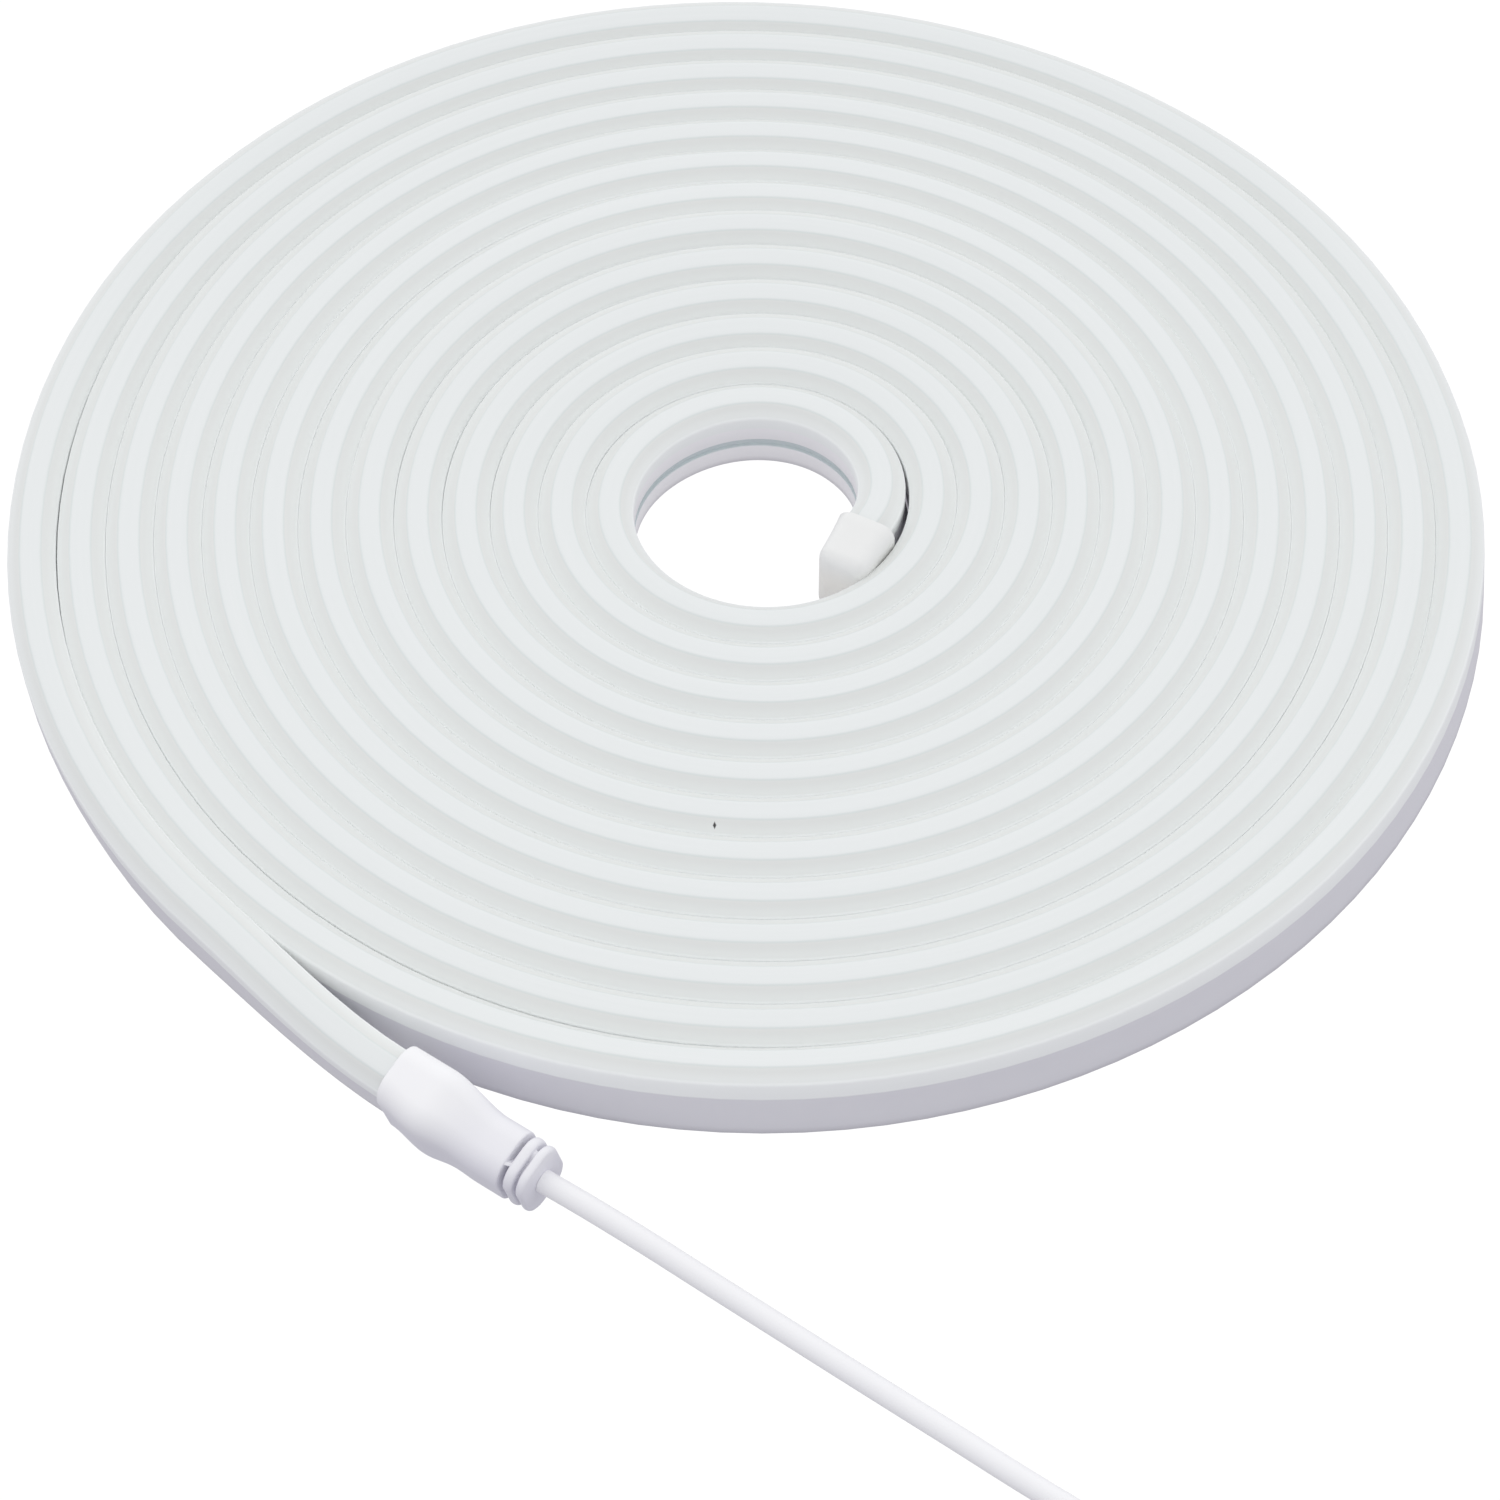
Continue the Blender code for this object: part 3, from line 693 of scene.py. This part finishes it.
def capOutline(width, height, centreUp):
    # A domed top over straight sides and rounded lower corners, anticlockwise.
    half = width / 2
    top, bottom = centreUp + height / 2, centreUp - height / 2
    crown = min(cap["crownWidth"], width * 0.6) / 2
    drop = min(cap["crownDrop"], height * 0.45)
    foot = min(cap["footCorner"], width * 0.3)
    power = cap["crownPower"]
    crownSteps, footSteps = 10, 6
    points = []
    for index in range(crownSteps + 1):
        angle = index / crownSteps * math.pi / 2
        across = crown + (half - crown) * math.cos(angle) ** power
        points.append((across, top - drop + drop * math.sin(angle) ** power))
    points += [(-across, up) for across, up in reversed(points)]
    for side in (-1, 1):
        for index in range(footSteps + 1):
            angle = index / footSteps * math.pi / 2
            spread, sink = (math.cos(angle), math.sin(angle)) if side < 0 else (math.sin(angle), math.cos(angle))
            points.append((side * (half - foot + foot * spread), bottom + foot - foot * sink))
    return points


def makeCap(material):
    place = coilPlace(0.0)
    bulge, lip, mouth, draft = cap["bulge"], cap["lip"], cap["mouth"], cap["draft"]
    width = winding["pitch"] + 2 * cap["wall"] + bulge
    height = strip["height"] + 2 * cap["wall"]
    hidden = cap["wall"] - 0.0002      # how far its inside stands in from its outside
    sections = []

    def addSection(along, narrower, inset):
        outline = capOutline(
            width - 2 * narrower - 2 * inset, height - narrower - 2 * inset, (strip["height"] - narrower) / 2,
        )
        sections.append([place.world(across + bulge / 2, up, along - cap["socket"]) for across, up in outline])

    # Inside the socket, round its lip and back along the outside: where, how much narrower, and how far in.
    stations = [
        (0.0005, 0.0, 1.0),
        (mouth - lip, 0.0, 1.0),
        (mouth - lip * 0.3, 0.0, 0.8),
        (mouth, 0.0, 0.4),
        (mouth - lip * 0.3, 0.0, 0.1),
        (mouth - lip, 0.0, 0.0),
        (0.0, draft * 0.3, 0.0),
        (-0.0050, draft * 0.7, 0.0),
    ]
    for along, narrower, inwards in stations:
        addSection(along, narrower, hidden * inwards)
    tip = cap["socket"] - cap["length"]
    tipSteps = 10
    for index in range(tipSteps + 1):
        angle = index / tipSteps * math.pi / 2
        along = tip + cap["tipRound"] * (1.0 - math.sin(angle))
        addSection(along, draft, cap["tipRound"] * (1.0 - math.cos(angle)))
    print("end cap,", len(sections), "sections")
    return addMesh("endCap", loft(sections), material)


def capMaterial():
    # Milky like the strip's top, and lighter and warmer low down: painted light against the shade round its end.
    finish = Finish("capMilky", Roughness=0.34, IOR=1.45)
    place = finish.place()
    grain = finish.noise(place, 70.0)
    clouds = finish.noise(place, 260.0, 2.0)
    colour = finish.mix(grain, *cap["tint"])
    colour = finish.mix(clouds * 0.35, colour, cap["cloudTint"])
    _, _, height = finish.split(place)
    # Painted light: the lower part is lighter and warmer.
    low = finish.fade(height, 0.0235, 0.0120)
    finish.feed("Base Color", finish.mix(low * 0.8, colour, cap["lowPaintedLightTint"]))
    return finish.material


# The power connector, on the outer end of the strip, with its slotted strain relief

connector = dict(
    length=0.0388,            # the body, without its strain relief
    wall=0.0022,
    corner=0.0064,
    swell=0.0020,
    rearWidth=0.0176,
    rearHeight=0.0200,
    rearShift=0.0016,
    rearRound=0.0005,
    socket=0.0075,
    edge=0.0007,
    slots=(0.0015, 0.0011),   # the strain relief: two slots, each with a ring after it
    slotDepths=(1.0, 0.55),
    rings=(0.0029, 0.0026),
    ringSteps=(0.0007, 0.0012),   # how much smaller than the body's rear they are
    ringRound=0.0009,
    coreRadius=0.0056,
    reliefCorner=0.0054,
    # What bridges each slot: degrees round the connector, its reach, and how full it is.
    ties=(
        ((74.0, 11.0, 1.0), (250.0, 14.0, 1.0), (180.0, 15.0, 0.55)),
        ((-62.0, 12.0, 0.8), (115.0, 12.0, 0.8), (20.0, 16.0, 0.25)),
    ),
    tint=((0.93, 0.93, 0.95), (0.955, 0.955, 0.97)),
    # painted shade: lilac towards the floor
    lowPaintedLightTint=(0.70, 0.69, 0.78),
)


def connectorBody(share):
    # Width, height and sideways shift of the body, a share of its length from the mouth.
    mouthWidth = winding["pitch"] + 2 * connector["wall"]
    mouthHeight = strip["height"] + 2 * connector["wall"]
    bulge = math.sin(math.pi * min(1.0, share / 0.7)) ** 2
    narrow = rising(share, 0.35, 0.45)
    width = mouthWidth + connector["swell"] * bulge
    width += (connector["rearWidth"] - width) * narrow
    height = mouthHeight + (connector["rearHeight"] - mouthHeight) * narrow
    shift = connector["swell"] * 0.5 * bulge * (1.0 - narrow) + connector["rearShift"] * narrow
    return width, height, shift


def connectorMaterial():
    # White, with painted lilac shade towards the floor.
    finish = Finish("connectorWhite", Roughness=0.42)
    place = finish.place()
    _, _, height = finish.split(place)
    white = finish.mix(finish.noise(place, 70.0), *connector["tint"])
    # Painted shade: darker lilac low down.
    low = finish.fade(height, 0.0272, 0.0120)
    finish.feed("Base Color", finish.mix(low * 0.65, white, connector["lowPaintedLightTint"]))
    return finish.material


def tieShare(angle, ties):
    # How much of a slot is bridged at an angle round the connector, in degrees.
    return max(full * smooth(1.6 * (1.0 - apart(angle, middle) / reach)) for middle, reach, full in ties)


def makeConnector(material):
    place = tailPlaces()[-1]
    under = -connector["wall"]
    length, edge = connector["length"], connector["edge"]
    rearShift, rearRound = connector["rearShift"], connector["rearRound"]
    sections = []

    def outlineOf(width, height, corner, shift, middle):
        outline = roundedOutline(width, height, min(corner, width / 2.01, height / 2.01), middle, 20)
        return [(across + shift, up) for across, up in outline]

    def addOutline(along, outline):
        sections.append([place.world(across, up, along) for across, up in outline])

    def addSection(along, width, height, corner, shift, inset=0.0):
        addOutline(along, outlineOf(
            width - 2 * inset, height - 2 * inset, corner - inset, shift, under + height / 2,
        ))

    # From inside its socket, round the mouth's edge and back along the body
    width, height, shift = connectorBody(0.0)
    corner = connector["corner"]
    wall = connector["wall"] - 0.0001
    addSection(connector["socket"], width, height, corner, shift, wall)
    addSection(edge, width, height, corner, shift, wall)
    edgeSteps, bodySteps, rearSteps, ringSteps = 6, 28, 4, 10
    for index in range(edgeSteps + 1):
        angle = index / edgeSteps * math.pi
        inset = wall / 2 * (1.0 + math.cos(angle))
        addSection(edge * (1.0 - math.sin(angle)), width, height, corner, shift, inset)
    for index in range(1, bodySteps + 1):
        share = edge / length + (1.0 - edge / length) * index / bodySteps
        width, height, shift = connectorBody(share)
        addSection(share * length, width, height, corner, shift)
    for index in range(1, rearSteps + 1):
        angle = index / rearSteps * math.pi / 2
        inset = rearRound * (1.0 - math.cos(angle))
        addSection(length + rearRound * math.sin(angle), width, height, corner, shift, inset)

    # The strain relief: each slot goes down to the core, but for the ties that bridge it
    middle = under + connector["rearHeight"] / 2
    core = 2 * connector["coreRadius"]
    coreOutline = outlineOf(core, core, core / 2, rearShift, middle)
    along = length + rearRound
    backSize = (connector["rearWidth"] - 2 * rearRound, connector["rearHeight"] - 2 * rearRound)
    rim, reliefCorner = connector["ringRound"], connector["reliefCorner"]
    parts = zip(*(connector[name] for name in ("slots", "slotDepths", "rings", "ringSteps", "ties")))
    for slot, depth, ring, smaller, ties in parts:
        width, height = connector["rearWidth"] - smaller, connector["rearHeight"] - smaller
        frontSize = (width - 2 * rim, height - 2 * rim)
        backOutline = outlineOf(*backSize, reliefCorner, rearShift, middle)
        frontOutline = outlineOf(*frontSize, reliefCorner, rearShift, middle)
        shares = [
            1.0 - depth + depth * tieShare(math.degrees(math.atan2(up - middle, across - rearShift)), ties)
            for across, up in frontOutline
        ]
        face = along + slot
        for distance, full in ((along + 0.00005, backOutline), (face, frontOutline)):
            addOutline(distance, [
                tuple(c + (f - c) * share for c, f in zip(deep, outer))
                for deep, outer, share in zip(coreOutline, full, shares)
            ])
        for index in range(ringSteps + 1):
            angle = index / ringSteps * math.pi
            inset = rim * (1.0 - math.sin(angle) ** 0.7)
            addOutline(face + ring / 2 * (1.0 - math.cos(angle)), outlineOf(
                width - 2 * inset, height - 2 * inset, reliefCorner, rearShift, middle,
            ))
        along = face + ring
        backSize = frontSize
    print("connector,", len(sections), "sections")
    return addMesh("connector", loft(sections), material)


def connectorEnd():
    # Where the cord leaves the last ring's face, a little inside it.
    place = tailPlaces()[-1]
    middle = -connector["wall"] + connector["rearHeight"] / 2
    body = connector["length"] + connector["rearRound"]
    return place.world(connector["rearShift"], middle, body + sum(connector["slots"]) + sum(connector["rings"]))


# The power cord: from the connector to the picture's edge and out of it, then a coil, then the plug

cord = dict(
    diameter=0.0066,
    route=[
        (-0.0412, -0.2303, 0.0105),
        (-0.0260, -0.2402, 0.0088),
        (-0.0100, -0.2506, 0.0063),
        (0.0060, -0.2613, 0.0044),
        (0.0215, -0.2723, 0.0036),
        (0.0370, -0.2836, 0.0034),
        (0.0524, -0.2949, 0.0034),
        (0.0734, -0.3104, 0.0034),
    ],
    coilCentre=(0.0846, -0.3740),
    outerRadius=0.0454,
    innerRadius=0.0276,
    joins=54.0,               # degrees round the coil, where the cord comes in
    lowTurns=2.70,
    climb=0.30,               # turns
    highTurns=2.70,
    pointsPerTurn=30,
    low=0.0034,
    high=0.0099,
    endRoute=[
        (0.0596, -0.4194, 0.0099),
        (0.0480, -0.4194, 0.0098),
        (0.0370, -0.4194, 0.0096),
        (0.0260, -0.4194, 0.0095),
    ],
    spacing=0.0025,
    sides=20,
    tint=((0.92, 0.92, 0.94), (0.95, 0.95, 0.965)),
)


def cordCoil():
    # Clockwise inwards on the floor, up at the inside, and outwards again on top.
    centreX, centreY = cord["coilCentre"]
    joins = math.radians(cord["joins"])
    lastAngle = -math.pi / 2          # it leaves the coil towards the plug there
    overrun = ((joins - lastAngle) / math.tau) % 1.0
    total = round(cord["lowTurns"] + cord["climb"] + cord["highTurns"] - overrun) + overrun
    layer = (total - cord["climb"]) / 2
    count = round(total * cord["pointsPerTurn"])
    points = []
    for step in range(count + 1):
        turn = total * step / count
        low = min(1.0, turn / layer)
        high = min(1.0, max(0.0, (turn - layer - cord["climb"]) / layer))
        radius = cord["outerRadius"] + (cord["innerRadius"] - cord["outerRadius"]) * (low - high)
        angle = joins - math.tau * turn
        height = cord["low"] + (cord["high"] - cord["low"]) * rising(turn, layer, cord["climb"])
        points.append((centreX + radius * math.cos(angle), centreY + radius * math.sin(angle), height))
    return points


def cordPoints():
    chosen = [connectorEnd()] + cord["route"] + cordCoil() + cord["endRoute"]
    return smoothRoute(chosen, cord["spacing"])


def makeCord(material):
    points = cordPoints()
    path = addRouteCurve("cordPath", points)
    section = []
    for index in range(cord["sides"]):
        angle = math.tau * index / cord["sides"]
        section.append((math.cos(angle), math.sin(angle)))
    item = sweepAlong("powerCord", path, section, cord["diameter"] / 2, material)
    length = sum((end - start).length for start, end in zip(points, points[1:]))
    print("cord", round(length, 4), "m")
    return item, points, length


# The plug, outside the photograph

plug = dict(
    neckLength=0.0160,
    neckDiameter=0.0098,
    neckGrowth=0.0030,
    ribs=5,
    ribDepth=0.0018,
    length=0.0290,
    shoulder=0.0035,
    shoulderCorner=0.0048,
    taper=0.0072,
    rearWidth=0.0192,
    rearHeight=0.0164,
    width=0.0240,
    height=0.0190,
    corner=0.0055,
    edge=0.0010,
    gap=0.0003,
    bladeHeight=0.0063,
    bladeThickness=0.0015,
    bladeSpacing=0.0127,
    bladeLength=0.0175,
    bladeTip=0.0008,
    bladeRoot=0.0002,         # how far a blade reaches into the body
    tint=((0.83, 0.83, 0.86), (0.87, 0.87, 0.90)),
    bladeTint=((0.70, 0.68, 0.62), (0.80, 0.77, 0.70)),
)


def plugPoint(along, across, up):
    endX, endY, _ = cord["endRoute"][-1]
    return Vector((endX - plug["gap"] - along, endY + across, plug["height"] / 2 + up))


def makePlug(material):
    sections = []

    def addSection(along, width, height, corner):
        outline = roundedOutline(width, height, min(corner, width / 2.01, height / 2.01), 0.0, 9)
        sections.append([plugPoint(along, across, up) for across, up in outline])

    # A neck with rings of ribs, each a share of the way along and a share of the depth
    neck, depth = plug["neckLength"], plug["ribDepth"]
    ribShape = ((0.0, 1.0), (0.06, 0.35), (0.16, 0.0), (0.58, 0.0), (0.68, 0.35), (0.74, 1.0))
    for rib in range(plug["ribs"]):
        for share, sunk in ribShape:
            along = (rib + share) * neck / plug["ribs"]
            size = plug["neckDiameter"] + plug["neckGrowth"] * along / neck - depth * sunk
            addSection(along, size, size, size / 2)

    neckEnd = plug["neckDiameter"] + plug["neckGrowth"] - depth
    shoulderSteps, bodySteps, edgeSteps = 9, 24, 5
    for index in range(shoulderSteps + 1):
        share = index / shoulderSteps
        angle = share * math.pi / 2
        width = neckEnd + (plug["rearWidth"] - neckEnd) * math.sin(angle)
        height = neckEnd + (plug["rearHeight"] - neckEnd) * math.sin(angle)
        corner = plug["shoulderCorner"] + 0.0015 * (1.0 - share)
        addSection(neck + plug["shoulder"] * (1.0 - math.cos(angle)), width, height, corner)

    bodyStart = neck + plug["shoulder"]
    bodyEnd = neck + plug["length"]
    edge = plug["edge"]
    for index in range(1, bodySteps + 1):
        along = bodyStart + (bodyEnd - edge - bodyStart) * index / bodySteps
        grown = rising(along, bodyStart, plug["taper"])
        width = plug["rearWidth"] + (plug["width"] - plug["rearWidth"]) * grown
        height = plug["rearHeight"] + (plug["height"] - plug["rearHeight"]) * grown
        addSection(along, width, height, plug["corner"])
    for index in range(1, edgeSteps + 1):
        angle = index / edgeSteps * math.pi / 2
        inset = edge * (1.0 - math.cos(angle))
        along = bodyEnd - edge + edge * math.sin(angle)
        addSection(along, plug["width"] - 2 * inset, plug["height"] - 2 * inset, plug["corner"] - inset)
    print("plug,", len(sections), "sections")
    return addMesh("plugBody", loft(sections), material)


def makeBlade(side, material):
    face = plug["neckLength"] + plug["length"]
    tip = face + plug["bladeLength"]
    sections = []
    stations = ((face - plug["bladeRoot"], 0.0), (tip - plug["bladeTip"], 0.0), (tip, -plug["bladeTip"] / 2))
    for along, growth in stations:
        halfWidth = plug["bladeThickness"] / 2 + growth
        halfHeight = plug["bladeHeight"] / 2 + growth
        sections.append([
            plugPoint(along, side * plug["bladeSpacing"] / 2 + x * halfWidth, z * halfHeight)
            for x, z in ((-1, -1), (1, -1), (1, 1), (-1, 1))
        ])
    return addMesh("plugBlade" + ("Left" if side > 0 else "Right"), loft(sections), material)


# Plain soft studio light, and a white floor with painted shade under the coil

studio = dict(
    above=(1.0, 1.0, 1.0),
    horizon=(0.93, 0.93, 0.97),
    below=(0.55, 0.545, 0.58),
    horizonBlend=(0.46, 0.54),    # from straight down, 0, to straight up, 1
    frontShade=(0.85, 0.85, 0.857),
    backLight=(1.14, 1.14, 1.13),
    sideBlend=0.8,
    floorSize=14.0,
    floorGlow=1.05,
    floorPaintedShade=(0.03, 0.03, 0.035),
    coilInner=0.0525,         # the floor has painted shade between these, from the coil's axis
    coilOuter=0.2045,
    slitRadius=0.0435,        # and round the slit beside the end cap
    slitAngle=12.0,
    slitReach=0.0115,
)


def makeWorld():
    world = bpy.data.worlds.new("studio")
    world.use_nodes = True
    tree = world.node_tree
    node = tree.nodes.new
    link = tree.links.new
    background = tree.nodes["Background"]
    place = node("ShaderNodeTexCoord")
    parts = node("ShaderNodeSeparateXYZ")
    lift = node("ShaderNodeMapRange")
    lift.inputs["From Min"].default_value = -1.0
    ramp = node("ShaderNodeValToRGB")
    stops = ramp.color_ramp.elements
    lower, upper = studio["horizonBlend"]
    tints = ((0.0, "below"), (lower, "below"), (upper, "horizon"), (1.0, "above"))
    while len(stops) < len(tints):
        stops.new(0.5)
    for stop, (position, name) in zip(stops, tints):
        stop.position = position
        stop.color = (*studio[name], 1.0)
    sides = node("ShaderNodeMapRange")
    sides.interpolation_type = "SMOOTHSTEP"
    sides.inputs["From Min"].default_value = -studio["sideBlend"]
    sides.inputs["From Max"].default_value = studio["sideBlend"]
    tint = node("ShaderNodeMix")
    tint.data_type = "RGBA"
    tint.inputs[6].default_value = (*studio["frontShade"], 1.0)
    tint.inputs[7].default_value = (*studio["backLight"], 1.0)
    product = node("ShaderNodeVectorMath")
    product.operation = "MULTIPLY"
    link(place.outputs["Generated"], parts.inputs[0])
    link(parts.outputs["Z"], lift.inputs["Value"])
    link(lift.outputs["Result"], ramp.inputs["Fac"])
    link(parts.outputs["Y"], sides.inputs["Value"])
    link(sides.outputs["Result"], tint.inputs[0])
    link(ramp.outputs["Color"], product.inputs[0])
    link(tint.outputs[2], product.inputs[1])
    link(product.outputs["Vector"], background.inputs["Color"])
    bpy.context.scene.world = world


def makeFloor():
    # White, with painted shade where the coil covers it, so that the slits between the turns look deep.
    half = studio["floorSize"] / 2
    shape = bmesh.new()
    corners = [shape.verts.new((x * half, y * half, 0.0)) for x, y in ((-1, -1), (1, -1), (1, 1), (-1, 1))]
    shape.faces.new(corners)
    finish = Finish("floorWhite", Roughness=1.0, Emission_Strength=studio["floorGlow"])
    finish.shader.inputs["Base Color"].default_value = (0.0, 0.0, 0.0, 1.0)
    finish.shader.inputs["Specular IOR Level"].default_value = 0.0
    place = finish.place()
    axisX, axisY = winding["axis"]
    angle = math.radians(studio["slitAngle"])
    slitX = axisX + studio["slitRadius"] * math.cos(angle)
    slitY = axisY + studio["slitRadius"] * math.sin(angle)
    blend = 0.0005

    def within(x, y, radius):
        values = {0: place, 1: (x, y, 0.0)}
        away = finish.node("ShaderNodeVectorMath", dict(operation="DISTANCE"), values, output="Value")
        return finish.fade(away, radius + blend, radius - blend)

    # Painted shade: the floor's glow is dark under the coil and round the slit beside the end cap.
    covered = within(axisX, axisY, studio["coilOuter"]) * (1.0 - within(axisX, axisY, studio["coilInner"]))
    paintedShadeMask = covered + within(slitX, slitY, studio["slitReach"])
    finish.feed("Emission Color", finish.mix(paintedShadeMask, (1.0, 1.0, 1.0), studio["floorPaintedShade"]))
    floor = addMesh("floor", shape, finish.material)
    floor.visible_diffuse = False
    floor.visible_glossy = False
    floor.visible_transmission = False
    floor.visible_shadow = False


def grainyMaterial(name, tint, scale=70.0, **constants):
    finish = Finish(name, **constants)
    grain = finish.noise(finish.place(), scale)
    finish.feed("Base Color", finish.mix(grain, *tint))
    return finish.material


makeCamera()
makeWorld()
makeFloor()
bpy.context.scene.view_settings.view_transform = "Standard"

powerCord, cordPath, cordLength = makeCord(grainyMaterial("cordWhite", cord["tint"], Roughness=0.40))
plugBody = makePlug(grainyMaterial("plugWhite", plug["tint"], Roughness=0.42))
bladeMetal = grainyMaterial("bladeMetal", plug["bladeTint"], 400.0, Roughness=0.28, Metallic=1.0)
blades = [makeBlade(side, bladeMetal) for side in (1, -1)]

stripItem = makeStrip(stripMaterial())
endCap = makeCap(capMaterial())
connectorItem = makeConnector(connectorMaterial())

pieces = [
    (stripItem, ["light_strip"], "strip"),
    (endCap, ["end_cap"], "cap"),
    (connectorItem, ["power_connector"], "connector"),
    (powerCord, ["power_cord", "power_cord_coil", "power_cord_end"], "cord"),
    (plugBody, ["plug_body"], "plug"),
    (blades[0], ["plug_blade_2"], "blades"),
    (blades[1], ["plug_blade_1"], "blades"),
]
for piece, nodes, slot in pieces:
    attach(piece, bodyName)
    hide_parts(*nodes)

tuple(connectorEnd())

bpy.context.view_layer.update()
print("all pieces made")
